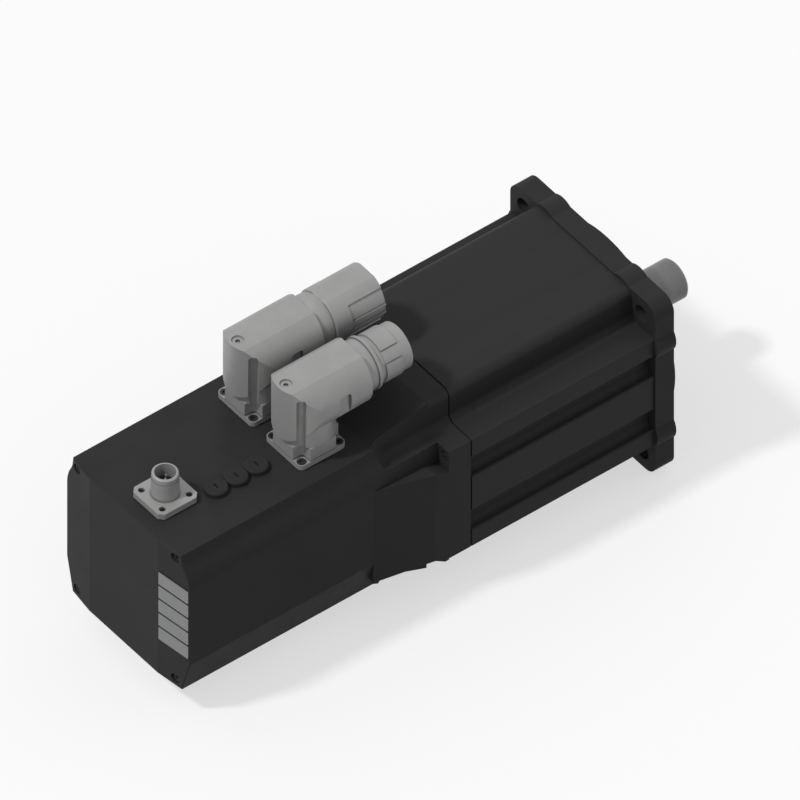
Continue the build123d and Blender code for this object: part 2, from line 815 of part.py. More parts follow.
# Side cheeks that lead the motor's full width into the box
ear_top = cheek_top - ear_drop
with BuildPart() as cheeks:
    for side in (-1, 1):
        with BuildSketch(Plane.XY.offset(-shelf_height)):
            with BuildLine():
                Polyline(
                    (ear_rear_x, side * (motor_width / 2 - cheek_depth)),
                    (ear_rear_x, side * motor_width / 2),
                    (cheek_flat_x, side * motor_width / 2),
                    (cheek_tail_x, side * box_side_half),
                    (cheek_tail_x, side * (motor_width / 2 - cheek_depth)),
                    close=True,
                )
            make_face()
    extrude(amount=2 * shelf_height)
    with BuildSketch(Plane.XZ.offset(motor_width)):
        with BuildLine():
            Polyline(
                (ear_rear_x, ear_top),
                (cheek_flat_x, cheek_top),
                (cheek_tail_x, cheek_top + cheek_slope),
                (cheek_tail_x, cheek_bottom - cheek_slope / 2),
                (cheek_flat_x, cheek_bottom),
                (ear_rear_x - cheek_slope, -shelf_height),
                (ear_rear_x, -shelf_height),
                close=True,
            )
        make_face()
    extrude(amount=-2 * motor_width, mode=Mode.INTERSECT)

# Scoops that end the shelves: a rounded end that leans back as it rises
with BuildPart() as scoops:
    for side in (-1, 1):
        for up in (-1, 1):
            for rise in (0, scoop_rise):
                mid_x = scoop_end_x - scoop_lean * rise + scoop_length / 2
                with BuildSketch(Plane.XY.offset(up * (shelf_height + rise))):
                    with Locations((mid_x, side * (plateau_half_width + scoop_reach / 2))):
                        RectangleRounded(scoop_length, scoop_reach, scoop_radius)
            loft(ruled=True)
    scoop_faces = scoops.faces().filter_by(Plane.XY)
    scoop_floors = scoop_faces.filter_by(lambda f: abs(f.center().Z) < shelf_height + scoop_rise / 2)
    fillet(scoop_floors.edges(), radius=plateau_fillet)

# Drive housing, bored for the end bell and hollow behind it
housing_front_x = motor_rear_x - gasket_thickness
pocket_inner = waist_half + pocket_inset
pocket_roof = -ear_screw_z + pocket_rise
cover_screw_mid = (cover_screw_top + cover_screw_bottom) / 2
cover_screw_span = cover_screw_top - cover_screw_bottom
cover_screw_hole = cover_screw_diameter + 2 * screw_gap
ear_head_x = ear_rear_x + ear_screw_diameter + loose_gap
cap_places = [(cap_mid_x + (i - (cap_count - 1) / 2) * cap_pitch, cap_y) for i in range(cap_count)]
swivel_places = [(swivel_x, swivel_y), (swivel_x, -swivel_y)]
with BuildPart() as drive_housing:
    with BuildSketch(Plane.YZ.offset(ear_rear_x)):
        add(waist_outline())
    with BuildSketch(Plane.YZ.offset(box_front_x)):
        add(box_outline())
    loft(ruled=True)
    add(cheeks.part)
    add(scoops.part, mode=Mode.SUBTRACT)
    with BuildSketch(Plane.YZ.offset(ear_rear_x)):
        add(motor_section(grooved=False))
    extrude(amount=housing_front_x - ear_rear_x)
    with BuildSketch(Plane.YZ.offset(cover_front_x)):
        add(box_outline())
    extrude(amount=box_front_x - cover_front_x)
    with BuildSketch(Plane.YZ.offset(bell_rear_x)):
        Circle(stator_bore / 2)
    extrude(amount=housing_front_x - bell_rear_x, mode=Mode.SUBTRACT)
    with BuildSketch(Plane.YZ.offset(cavity_front_x)):
        Circle(housing_bore / 2)
    extrude(amount=bell_rear_x - cavity_front_x, mode=Mode.SUBTRACT)
    with BuildSketch(Plane.YZ.offset(cover_front_x)):
        add(box_outline())
        offset(amount=-box_wall, kind=Kind.INTERSECTION, mode=Mode.REPLACE)
    extrude(amount=cavity_front_x - cover_front_x, mode=Mode.SUBTRACT)
    with BuildSketch(Plane.YZ.offset(cover_front_x)):
        with Locations((0, cover_screw_mid)):
            with GridLocations(2 * cover_screw_y, cover_screw_span, 2, 2):
                Circle(boss_diameter / 2)
    extrude(amount=boss_length)
    with BuildSketch(Plane.YZ.offset(cover_front_x)):
        with Locations((0, cover_screw_mid)):
            with GridLocations(2 * cover_screw_y, cover_screw_span, 2, 2):
                Circle(cover_screw_hole / 2)
    extrude(amount=boss_length - cover_rim, mode=Mode.SUBTRACT)
    for side in (-1, 1):
        with BuildSketch(Plane.XY.offset(pocket_roof)):
            with BuildLine():
                Polyline(
                    (ear_rear_x, side * pocket_inner),
                    (ear_rear_x, side * (motor_width / 2 - pocket_lip)),
                    (cheek_flat_x, side * (motor_width / 2 - pocket_lip)),
                    (cheek_tail_x, side * pocket_inner),
                    close=True,
                )
            make_face()
    extrude(amount=-pocket_roof - 2 * shelf_height, mode=Mode.SUBTRACT)
    with BuildSketch(Plane.YZ.offset(ear_rear_x)):
        with GridLocations(2 * ear_screw_y, 2 * ear_screw_z, 2, 2):
            Circle(ear_screw_diameter / 2 + screw_gap)
    extrude(amount=housing_front_x - ear_rear_x, mode=Mode.SUBTRACT)
    with BuildSketch(Plane.YZ.offset(ear_rear_x)):
        with GridLocations(2 * ear_screw_y, 2 * ear_screw_z, 2, 2):
            Circle(small_head_diameter / 2 + loose_gap)
    extrude(amount=ear_head_x - ear_rear_x, mode=Mode.SUBTRACT)
    with BuildSketch(Plane.YZ.offset(bell_rear_x)):
        with PolarLocations(bell_screw_circle / 2, 4, start_angle=45):
            Circle(bell_screw_diameter / 2 + screw_gap)
    extrude(amount=-bell_screw_length + bell_front_x - bell_rear_x - edge_chamfer, mode=Mode.SUBTRACT)
    with BuildSketch(Plane.XY.offset(box_top)):
        with Locations(*swivel_places):
            Circle(wire_hole_diameter / 2)
            with GridLocations(base_screw_pitch, base_screw_pitch, 2, 2):
                Circle(base_screw_diameter / 2 + screw_gap)
        with Locations(*cap_places):
            Circle(cap_thread_diameter / 2 + screw_gap)
        with Locations((io_x, io_y)):
            Circle(io_collar_diameter / 2)
            with GridLocations(io_hole_pitch, io_hole_pitch, 2, 2):
                Circle(io_screw_diameter / 2 + screw_gap)
    extrude(amount=-box_wall - loose_gap, mode=Mode.SUBTRACT)
keep(drive_housing, "drive_housing")

ear_shank = motor_rear_x - ear_head_x + ear_screw_length - edge_chamfer
ear_planes = [facing(ear_head_x, y, z, (-1, 0, 0)) for y, z in four_corners(ear_screw_y, ear_screw_z)]
ear_screws = screw_set(ear_planes, ear_screw_diameter, ear_shank, small_head_diameter, ear_screw_diameter)
keep(ear_screws, "ear_screws")

# Gasket in the joint between motor body and drive housing
with BuildPart() as housing_gasket:
    with BuildSketch(Plane.YZ.offset(housing_front_x)):
        add(motor_section(grooved=False))
        offset(amount=-gasket_inset, mode=Mode.REPLACE)
        Circle(stator_bore / 2, mode=Mode.SUBTRACT)
        with GridLocations(2 * ear_screw_y, 2 * ear_screw_z, 2, 2):
            Circle(ear_screw_diameter / 2 + screw_gap, mode=Mode.SUBTRACT)
    extrude(amount=gasket_thickness)
keep(housing_gasket, "housing_gasket")

# Rear cover: a plate with a slanted facet down each side
facet_run = box_side_half - facet_start
facet_plane = Plane(
    origin=(rear_x + facet_drop / 2, -(facet_start + box_side_half) / 2, bars_mid_z),
    x_dir=(facet_drop, -facet_run, 0),
    z_dir=(-facet_run, -facet_drop, 0),
)
bar_length = math.hypot(facet_run, facet_drop) - 2 * bar_margin - cover_rim
with BuildPart() as rear_cover:
    with BuildSketch(Plane.YZ.offset(rear_x)):
        add(box_outline())
    extrude(amount=cover_front_x - rear_x)
    for side in (-1, 1):
        with BuildSketch(Plane.XY.offset(-plateau_height)):
            with BuildLine():
                Polyline(
                    (rear_x, side * facet_start),
                    (rear_x + facet_drop, side * box_side_half),
                    (rear_x + facet_drop, side * motor_width / 2),
                    (rear_x - edge_chamfer, side * motor_width / 2),
                    (rear_x - edge_chamfer, side * facet_start),
                    close=True,
                )
            make_face()
    extrude(amount=2 * plateau_height, mode=Mode.SUBTRACT)
    rear_edges = rear_cover.edges().filter_by(lambda e: e.center().X < rear_x + facet_drop + locating_gap)
    rim = rear_edges.filter_by(lambda e: abs(abs(e.center().Y) - facet_start) > edge_chamfer)
    chamfer(rim, length=cover_rim / 2)
    with BuildSketch(Plane.YZ.offset(cover_front_x)):
        with Locations((0, cover_screw_mid)):
            with GridLocations(2 * cover_screw_y, cover_screw_span, 2, 2):
                Circle(cover_screw_hole / 2)
    extrude(amount=rear_x - cover_front_x, mode=Mode.SUBTRACT)
    with BuildSketch(Plane.YZ.offset(rear_x + cover_bore_depth)):
        with Locations((0, cover_screw_mid)):
            with GridLocations(2 * cover_screw_y, cover_screw_span, 2, 2):
                Circle(cover_bore_diameter / 2)
    extrude(amount=-cover_bore_depth, mode=Mode.SUBTRACT)
    with BuildSketch(Plane.YZ.offset(cover_front_x)):
        add(box_outline())
        offset(amount=-cover_rim, mode=Mode.REPLACE)
        with BuildSketch(mode=Mode.SUBTRACT):
            add(box_outline())
            offset(amount=-cover_rim - cover_seal_width, mode=Mode.REPLACE)
    extrude(amount=-cover_seal_thickness, mode=Mode.SUBTRACT)
    with BuildSketch(facet_plane):
        with GridLocations(0, bar_pitch, 1, bar_count):
            RectangleRounded(bar_length + running_gap, bar_height + running_gap, bar_corner)
    extrude(amount=-bar_sink, mode=Mode.SUBTRACT)
keep(rear_cover, "rear_cover")

with BuildPart() as rear_cover_seal:
    with BuildSketch(Plane.YZ.offset(cover_front_x)):
        add(box_outline())
        offset(amount=-cover_rim - running_gap, mode=Mode.REPLACE)
        with BuildSketch(mode=Mode.SUBTRACT):
            add(box_outline())
            offset(amount=-cover_rim - cover_seal_width + running_gap, mode=Mode.REPLACE)
    extrude(amount=-cover_seal_thickness)
keep(rear_cover_seal, "rear_cover_seal")

cover_head_x = rear_x + cover_bore_depth
cover_planes = []
for z in (cover_screw_top, cover_screw_bottom):
    for y in (-cover_screw_y, cover_screw_y):
        cover_planes.append(facing(cover_head_x, y, z, (-1, 0, 0)))
cover_shank = cover_front_x - cover_head_x + boss_length - 3 * edge_chamfer
rear_cover_screws = screw_set(
    cover_planes, cover_screw_diameter, cover_shank, cover_head_diameter, cover_head_height
)
keep(rear_cover_screws, "rear_cover_screws")

# Status bars along the near facet of the rear cover
with BuildPart() as status_bars:
    with BuildSketch(facet_plane.offset(-bar_sink)):
        with GridLocations(0, bar_pitch, 1, bar_count):
            RectangleRounded(bar_length, bar_height, bar_corner)
    extrude(amount=bar_thickness)
keep(status_bars, "status_bars")


# Round socket on top of the box
def over(x, y, height):
    """A horizontal plane with its origin at a height over a point of the box."""
    return Plane(origin=(x, y, height), z_dir=(0, 0, 1))


def io_flange_outline():
    """The square flange of the round socket, seen from above, with its corners cut."""
    with BuildSketch() as outline:
        Rectangle(io_flange_side, io_flange_side)
        chamfer(outline.vertices(), length=io_corner_chamfer)
    return outline.sketch


io_flange_z = box_top + io_seal_thickness
io_flange_top = io_flange_z + io_flange_thickness
io_top = box_top + io_height
io_collar_z = io_top - io_collar_height
io_rear_z = box_top - box_wall - io_rear_reach
io_face_z = io_top - io_face_depth
io_bore_radius = io_bore / 2
with BuildPart() as io_shell:
    with BuildSketch(over(io_x, io_y, io_flange_z)):
        add(io_flange_outline())
    extrude(amount=io_flange_thickness)
    with BuildSketch(over(io_x, io_y, io_rear_z)):
        Circle(io_collar_diameter / 2 - screw_gap)
    extrude(amount=io_flange_z - io_rear_z)
    with BuildSketch(over(io_x, io_y, io_flange_top)):
        Circle(io_barrel_diameter / 2)
    extrude(amount=io_collar_z - io_flange_top)
    with BuildSketch(over(io_x, io_y, io_collar_z)):
        Circle(io_collar_diameter / 2)
    extrude(amount=io_collar_height)
    chamfer(io_shell.faces().sort_by(Axis.Z)[-1].edges(), length=edge_chamfer / 2)
    with BuildSketch(over(io_x, io_y, io_rear_z)):
        Circle(io_bore_radius)
        with GridLocations(io_hole_pitch, io_hole_pitch, 2, 2):
            Circle(io_screw_diameter / 2 + screw_gap)
    extrude(amount=io_top - io_rear_z, mode=Mode.SUBTRACT)
    with BuildSketch(over(io_x, io_y, io_flange_top)):
        with GridLocations(io_hole_pitch, io_hole_pitch, 2, 2):
            Circle(io_hole_diameter / 2)
    extrude(amount=-io_head_sink, mode=Mode.SUBTRACT)
keep(io_shell, "io_shell")

with BuildPart() as io_insert:
    with BuildSketch(over(io_x, io_y, io_rear_z)):
        Circle(io_bore_radius - locating_gap)
        with PolarLocations(io_pin_circle / 2, 4, start_angle=45):
            Circle(io_pin_diameter / 2, mode=Mode.SUBTRACT)
        Circle(io_pin_diameter / 2, mode=Mode.SUBTRACT)
    extrude(amount=io_face_z - io_rear_z)
keep(io_insert, "io_insert")

control_board_top = control_board_z + board_thickness
with BuildPart() as io_pins:
    with BuildSketch(over(io_x, io_y, control_board_top)):
        with PolarLocations(io_pin_circle / 2, 4, start_angle=45):
            Circle(io_pin_diameter / 2)
        Circle(io_pin_diameter / 2)
    extrude(amount=io_face_z + io_pin_reach - control_board_top)
keep(io_pins, "io_pins")

io_head_z = io_flange_top - io_head_sink
io_screw_planes = []
for dx in (-io_hole_pitch / 2, io_hole_pitch / 2):
    for dy in (-io_hole_pitch / 2, io_hole_pitch / 2):
        io_screw_planes.append(over(io_x + dx, io_y + dy, io_head_z))
io_shank = io_head_z - box_top + box_wall
io_screws = screw_set(io_screw_planes, io_screw_diameter, io_shank, io_screw_head, io_head_height)
keep(io_screws, "io_screws")

# Service caps, screwed into the top of the box
with BuildPart() as service_caps:
    with BuildSketch(Plane.XY.offset(box_top)):
        with Locations(*cap_places):
            Circle(cap_diameter / 2)
    extrude(amount=cap_height)
    chamfer(service_caps.faces().filter_by(Plane.XY).group_by(Axis.Z)[-1].edges(), length=edge_chamfer / 2)
    with BuildSketch(Plane.XY.offset(box_top)):
        with Locations(*cap_places):
            Circle(cap_thread_diameter / 2)
    extrude(amount=-box_wall)
    with BuildSketch(Plane.XY.offset(box_top + cap_height)):
        with Locations(*cap_places):
            SlotOverall(cap_slot_length, cap_slot_width, rotation=90)
    extrude(amount=-edge_chamfer, mode=Mode.SUBTRACT)
keep(service_caps, "service_caps")

# Gaskets under the connectors and the round socket
base_z = box_top + base_seal_thickness
clip_pocket_radius = stub_diameter / 2 + clip_reach + clip_pocket_gap
with BuildPart() as connector_gaskets:
    with BuildSketch(Plane.XY.offset(box_top)):
        with Locations(*swivel_places):
            RectangleRounded(base_side - gasket_inset, base_side - gasket_inset, base_corner_radius)
            Circle(clip_pocket_radius, mode=Mode.SUBTRACT)
            with GridLocations(base_screw_pitch, base_screw_pitch, 2, 2):
                Circle(base_screw_diameter / 2 + screw_gap, mode=Mode.SUBTRACT)
    extrude(amount=base_seal_thickness)
    with BuildSketch(over(io_x, io_y, box_top)):
        add(io_flange_outline())
        Circle(io_collar_diameter / 2, mode=Mode.SUBTRACT)
        with GridLocations(io_hole_pitch, io_hole_pitch, 2, 2):
            Circle(io_screw_diameter / 2 + screw_gap, mode=Mode.SUBTRACT)
    extrude(amount=io_seal_thickness)
keep(connector_gaskets, "connector_gaskets")


# Right-angle connectors: fixed base
base_top = base_z + base_plate_thickness
base_head_z = base_top - base_head_height - loose_gap
block_top = base_top + block_height
neck_z = block_top + neck_gap
barrel_z = base_top + barrel_rise
stub_z = neck_z - stub_length
clip_z = stub_z + clip_thickness


def connector_base(y):
    """Square plate with a notched block on it, bored for the elbow's stub."""
    with BuildPart() as base:
        with BuildSketch(over(swivel_x, y, base_z)):
            RectangleRounded(base_side, base_side, base_corner_radius)
        extrude(amount=base_plate_thickness)
        with BuildSketch(over(swivel_x, y, base_top)) as block:
            Rectangle(2 * block_half, 2 * block_arm_half)
            Rectangle(2 * block_arm_half, 2 * block_half)
            inner_corners = [v for v in block.vertices() if abs(abs(v.X) - abs(v.Y)) < corner_reach]
            fillet(inner_corners, radius=block_corner_radius)
        extrude(amount=block_height)
        with BuildSketch(over(swivel_x, y, base_z)):
            Circle(stub_diameter / 2 + running_gap)
            with GridLocations(base_screw_pitch, base_screw_pitch, 2, 2):
                Circle(base_screw_diameter / 2 + screw_gap)
        extrude(amount=base_plate_thickness + block_height, mode=Mode.SUBTRACT)
        with BuildSketch(over(swivel_x, y, base_head_z)):
            with GridLocations(base_screw_pitch, base_screw_pitch, 2, 2):
                Circle(base_screw_head / 2 + screw_gap)
        extrude(amount=block_height, mode=Mode.SUBTRACT)
        with BuildSketch(over(swivel_x, y, base_z)):
            Circle(clip_pocket_radius)
        extrude(amount=clip_z + clip_thickness + running_gap - base_z, mode=Mode.SUBTRACT)
    return base


keep(connector_base(swivel_y), "power_base")
keep(connector_base(-swivel_y), "signal_base")

base_screw_planes = []
for y in (-swivel_y, swivel_y):
    for dx in (-base_screw_pitch / 2, base_screw_pitch / 2):
        for dy in (-base_screw_pitch / 2, base_screw_pitch / 2):
            base_screw_planes.append(over(swivel_x + dx, y + dy, base_head_z))
base_shank = base_head_z - box_top + box_wall
connector_screws = screw_set(
    base_screw_planes, base_screw_diameter, base_shank, base_screw_head, base_head_height
)
keep(connector_screws, "connector_screws")


# Right-angle connectors: swivelling elbow
def barrel_section(drop):
    """Cross-section of an elbow's barrel: round, with a flat roof, and deeper below by drop."""
    belly = barrel_radius * math.sqrt(0.5)
    with BuildSketch() as section:
        with BuildLine():
            Line((0, barrel_roof), (barrel_roof_half, barrel_roof))
            TangentArc((barrel_radius, 0), (barrel_roof_half, barrel_roof), tangent=(0, 1))
            Line((barrel_radius, 0), (barrel_radius, -drop))
            ThreePointArc((barrel_radius, -drop), (belly, -drop - belly), (0, -drop - barrel_radius))
            mirror(about=Plane.YZ)
        make_face()
    return section.sketch


def along(y, x):
    """A plane across a connector's barrel, facing forward."""
    return Plane(origin=(x, y, barrel_z), x_dir=(0, 1, 0), z_dir=(1, 0, 0))


def elbow_body(y):
    """An elbow without its mouth: a barrel on a round neck, with its rear end rounded in plan."""
    barrel_length = barrel_front_x - swivel_x
    flute_half = base_screw_pitch / 2
    with BuildPart() as body:
        with BuildSketch(along(y, swivel_x - barrel_radius)):
            add(barrel_section(barrel_rear_drop))
        with BuildSketch(along(y, barrel_front_x)):
            add(barrel_section(barrel_front_drop))
        loft(ruled=True)
        with BuildSketch(over(swivel_x, y, neck_z)):
            Circle(barrel_radius)
            with Locations((barrel_length / 2, 0)):
                Rectangle(barrel_length, 2 * barrel_radius)
        extrude(amount=2 * barrel_rise, mode=Mode.INTERSECT)
        with BuildSketch(over(swivel_x, y, neck_z)):
            Circle(neck_radius)
        extrude(amount=barrel_z - neck_z)
        with BuildSketch(over(swivel_x, y, stub_z)):
            Circle(stub_diameter / 2)
        extrude(amount=stub_length)
        with BuildSketch(over(swivel_x, y, clip_z)):
            Circle(stub_diameter / 2)
            Circle(stub_diameter / 2 - clip_thickness, mode=Mode.SUBTRACT)
        extrude(amount=clip_thickness, mode=Mode.SUBTRACT)
        with BuildSketch(over(swivel_x, y, neck_z)):
            with Locations((-flute_half, flute_half), (-flute_half, -flute_half)):
                Circle(flute_radius)
        extrude(amount=barrel_z + flute_rise - flute_radius - neck_z, mode=Mode.SUBTRACT)
        with Locations(over(swivel_x, y, barrel_z + flute_rise - flute_radius)):
            with Locations((-flute_half, flute_half), (-flute_half, -flute_half)):
                Sphere(flute_radius, mode=Mode.SUBTRACT)
        for side in (-1, 1):
            recess_y = y + side * (barrel_radius - side_recess_depth)
            recess_z = barrel_z - side_recess_drop
            recess_origin = (side_recess_x, recess_y, recess_z)
            with BuildSketch(Plane(origin=recess_origin, x_dir=(1, 0, 0), z_dir=(0, side, 0))):
                RectangleRounded(side_recess_length, side_recess_height, side_recess_depth)
            extrude(amount=2 * side_recess_depth, mode=Mode.SUBTRACT)
        with BuildSketch(over(swivel_x - top_recess_offset, y, barrel_z + barrel_roof)):
            Circle(top_recess_diameter / 2)
        extrude(amount=-top_recess_depth, mode=Mode.SUBTRACT)
        with BuildSketch(over(swivel_x - top_recess_offset, y, barrel_z + barrel_roof - top_recess_depth)):
            Circle(base_screw_diameter / 2 + screw_gap)
        extrude(amount=-top_screw_length - loose_gap, mode=Mode.SUBTRACT)
        with BuildSketch(over(swivel_x, y, stub_z)):
            Circle(wire_hole_diameter / 2)
        extrude(amount=barrel_z - stub_z, mode=Mode.SUBTRACT)
        with BuildSketch(along(y, swivel_x)):
            Circle(wire_hole_diameter / 2)
        extrude(amount=barrel_length, mode=Mode.SUBTRACT)
        with Locations((swivel_x, y, barrel_z)):
            Sphere(wire_hole_diameter / 2, mode=Mode.SUBTRACT)
    return body


def snap_ring(y):
    """Open ring in the groove of an elbow's stub, which holds the elbow in its base."""
    with BuildPart() as clip:
        with BuildSketch(over(swivel_x, y, clip_z)):
            Circle(stub_diameter / 2 + clip_reach)
            Circle(stub_diameter / 2 - clip_thickness + locating_gap, mode=Mode.SUBTRACT)
            with Locations((-stub_diameter / 2, 0)):
                Rectangle(stub_diameter / 2, stub_diameter / 2, mode=Mode.SUBTRACT)
        extrude(amount=clip_thickness)
    return clip


def elbow_screw(y):
    """Small screw sunk in the roof of an elbow."""
    floor = over(swivel_x - top_recess_offset, y, barrel_z + barrel_roof - top_recess_depth)
    head_diameter = top_recess_diameter - 2 * screw_gap
    return screw_set([floor], base_screw_diameter, top_screw_length, head_diameter, top_head_height)


keep(snap_ring(swivel_y), "power_clip")
keep(snap_ring(-swivel_y), "signal_clip")
keep(elbow_screw(swivel_y), "power_elbow_screw")
keep(elbow_screw(-swivel_y), "signal_elbow_screw")


def sector(start, end, outer, inner):
    """A stretch of ring between two angles, measured from straight up towards -Y."""
    corners = []
    for angle in (math.radians(start), math.radians(end)):
        corners.append((-2 * outer * math.sin(angle), 2 * outer * math.cos(angle)))
    with BuildSketch() as piece:
        with BuildLine():
            Polyline((0, 0), *corners, close=True)
        make_face()
        Circle(outer, mode=Mode.INTERSECT)
        Circle(inner, mode=Mode.SUBTRACT)
    return piece.sketch


# Power elbow with its turned neck and tube
power_tube_end = nut_front_x - power_tube_set_back
power_bore = power_tube_radius - power_tube_wall
neck_mid_x = (barrel_front_x + nut_rear_x) / 2
power_axis = Axis((swivel_x, swivel_y, barrel_z), (1, 0, 0))
power_plane = Plane(origin=(0, swivel_y, barrel_z), x_dir=(1, 0, 0), z_dir=(0, -1, 0))
with BuildPart() as power_elbow:
    add(elbow_body(swivel_y))
    with BuildSketch(power_plane):
        with BuildLine():
            neck_curve = ThreePointArc(
                (barrel_front_x, power_neck_radii[0]),
                (neck_mid_x, power_neck_radii[1]),
                (nut_rear_x, power_neck_radii[2]),
            )
            Polyline(neck_curve @ 1, (nut_rear_x, 0), (barrel_front_x, 0), neck_curve @ 0)
        make_face()
    revolve(axis=power_axis)
    with BuildSketch(along(swivel_y, nut_rear_x)):
        Circle(power_tube_radius)
    extrude(amount=power_tube_end - nut_rear_x)
    with BuildSketch(along(swivel_y, barrel_front_x)):
        Circle(power_bore)
    extrude(amount=power_tube_end - barrel_front_x, mode=Mode.SUBTRACT)
keep(power_elbow, "power_elbow")

# Power coupling nut: a ring with two flats and grip recesses
with BuildPart() as power_nut:
    with BuildSketch(along(swivel_y, nut_rear_x + neck_gap)):
        Circle(nut_radius)
        Rectangle(2 * nut_radius, 2 * nut_flat_rise, mode=Mode.INTERSECT)
    extrude(amount=nut_front_x - nut_rear_x - neck_gap)
    chamfer(power_nut.faces().sort_by(Axis.X)[0].edges(), length=edge_chamfer / 2)
    for side in (-1, 1):
        for start, end in nut_recess_angles:
            with BuildSketch(along(swivel_y, nut_recess_x)):
                add(sector(side * start, side * end, 2 * nut_radius, nut_radius - nut_recess_depth))
    extrude(amount=nut_front_x - nut_recess_x, mode=Mode.SUBTRACT)
    with BuildSketch(along(swivel_y, nut_rear_x)):
        Circle(power_tube_radius + running_gap)
    extrude(amount=nut_front_x - nut_rear_x, mode=Mode.SUBTRACT)
keep(power_nut, "power_nut")

# Signal elbow with its collar, groove and tube
signal_tube_end = sleeve_front_x - signal_tube_set_back
signal_bore = signal_tube_radius - signal_tube_wall
with BuildPart() as signal_elbow:
    add(elbow_body(-swivel_y))
    with BuildSketch(along(-swivel_y, barrel_front_x)):
        Circle(collar_radius)
    extrude(amount=collar_lip_x - barrel_front_x)
    with BuildSketch(along(-swivel_y, collar_lip_x)):
        Circle(collar_lip_radius)
    extrude(amount=collar_lip_width)
    with BuildSketch(along(-swivel_y, collar_lip_x + collar_lip_width)):
        Circle(sleeve_groove_radius)
    extrude(amount=sleeve_rear_x - collar_lip_x - collar_lip_width)
    with BuildSketch(along(-swivel_y, sleeve_rear_x)):
        Circle(signal_tube_radius)
    extrude(amount=signal_tube_end - sleeve_rear_x)
    with BuildSketch(along(-swivel_y, barrel_front_x)):
        Circle(signal_bore)
    extrude(amount=signal_tube_end - barrel_front_x, mode=Mode.SUBTRACT)
keep(signal_elbow, "signal_elbow")

# Signal locking sleeve with three raised pads
with BuildPart() as signal_sleeve:
    with BuildSketch(along(-swivel_y, sleeve_rear_x + neck_gap)):
        Circle(sleeve_radius)
    extrude(amount=sleeve_front_x - sleeve_rear_x - neck_gap)
    chamfer(signal_sleeve.faces().sort_by(Axis.X)[-1].edges(), length=edge_chamfer / 3)
    with BuildSketch(along(-swivel_y, sleeve_rear_x + neck_gap)):
        for turn in pad_turns:
            pad_start = turn - pad_angle / 2
            add(sector(pad_start, pad_start + pad_angle, pad_radius, signal_tube_radius + running_gap))
    extrude(amount=pad_front_x - sleeve_rear_x - neck_gap)
    with BuildSketch(along(-swivel_y, sleeve_rear_x)):
        Circle(signal_tube_radius + running_gap)
    extrude(amount=sleeve_front_x - sleeve_rear_x, mode=Mode.SUBTRACT)
keep(signal_sleeve, "signal_sleeve")


# Contact inserts and their pins
def contact_insert(y, bore, face_x, pin_diameter, pin_circle, pin_count):
    """Moulded insert in a connector's mouth, with a hole for each pin."""
    with BuildPart() as insert:
        with BuildSketch(along(y, barrel_front_x)):
            Circle(bore - locating_gap)
            Circle(pin_diameter / 2, mode=Mode.SUBTRACT)
            with PolarLocations(pin_circle / 2, pin_count):
                Circle(pin_diameter / 2, mode=Mode.SUBTRACT)
        extrude(amount=face_x - barrel_front_x)
    return insert


def contact_pins(y, face_x, pin_diameter, pin_circle, pin_count):
    """Pins through an insert: one in the middle and a circle of them round it."""
    with BuildPart() as pins:
        with BuildSketch(along(y, barrel_front_x)):
            Circle(pin_diameter / 2)
            with PolarLocations(pin_circle / 2, pin_count):
                Circle(pin_diameter / 2)
        extrude(amount=face_x + pin_reach - barrel_front_x)
    return pins


power_face_x = power_tube_end - insert_recess
signal_face_x = signal_tube_end - insert_recess
power_pins = (power_pin_diameter, power_pin_circle, power_pin_count)
signal_pins = (signal_pin_diameter, signal_pin_circle, signal_pin_count)
keep(contact_insert(swivel_y, power_bore, power_face_x, *power_pins), "power_insert")
keep(contact_insert(-swivel_y, signal_bore, signal_face_x, *signal_pins), "signal_insert")
keep(contact_pins(swivel_y, power_face_x, *power_pins), "power_pins")
keep(contact_pins(-swivel_y, signal_face_x, *signal_pins), "signal_pins")

# Power board on short posts near the floor of the box
box_floor = box_bottom + box_wall
board_length = board_front_x - board_rear_x
board_mid_x = (board_front_x + board_rear_x) / 2
post_pitch_x = board_length - 2 * board_screw_inset
post_pitch_y = 2 * (board_half_width - board_screw_inset)
power_board_top = power_board_z + board_thickness


def board(height):
    """A circuit board with a screw hole near each corner."""
    with BuildPart() as piece:
        with BuildSketch(over(board_mid_x, 0, height)):
            Rectangle(board_length, 2 * board_half_width)
            with GridLocations(post_pitch_x, post_pitch_y, 2, 2):
                Circle(post_screw_diameter / 2 + screw_gap, mode=Mode.SUBTRACT)
        extrude(amount=board_thickness)
    return piece


keep(board(power_board_z), "power_board")
keep(board(control_board_z), "control_board")

with BuildPart() as board_posts:
    with BuildSketch(over(board_mid_x, 0, box_floor)):
        with GridLocations(post_pitch_x, post_pitch_y, 2, 2):
            Circle(post_diameter / 2)
    extrude(amount=power_board_z - box_floor)
    with BuildSketch(over(board_mid_x, 0, power_board_top)):
        with GridLocations(post_pitch_x, post_pitch_y, 2, 2):
            Circle(post_diameter / 2)
    extrude(amount=control_board_z - power_board_top)
    with BuildSketch(over(board_mid_x, 0, power_board_z)):
        with GridLocations(post_pitch_x, post_pitch_y, 2, 2):
            Circle(post_screw_diameter / 2)
    extrude(amount=board_thickness)
    with BuildSketch(over(board_mid_x, 0, control_board_z)):
        with GridLocations(post_pitch_x, post_pitch_y, 2, 2):
            Circle(post_screw_diameter / 2 + screw_gap)
    extrude(amount=-board_screw_inset, mode=Mode.SUBTRACT)
keep(board_posts, "board_posts")

board_screw_planes = []
for dx in (-post_pitch_x / 2, post_pitch_x / 2):
    for dy in (-post_pitch_y / 2, post_pitch_y / 2):
        board_screw_planes.append(over(board_mid_x + dx, dy, control_board_top))
board_screws = screw_set(
    board_screw_planes, post_screw_diameter, board_screw_inset, small_head_diameter, low_head_height
)
keep(board_screws, "board_screws")

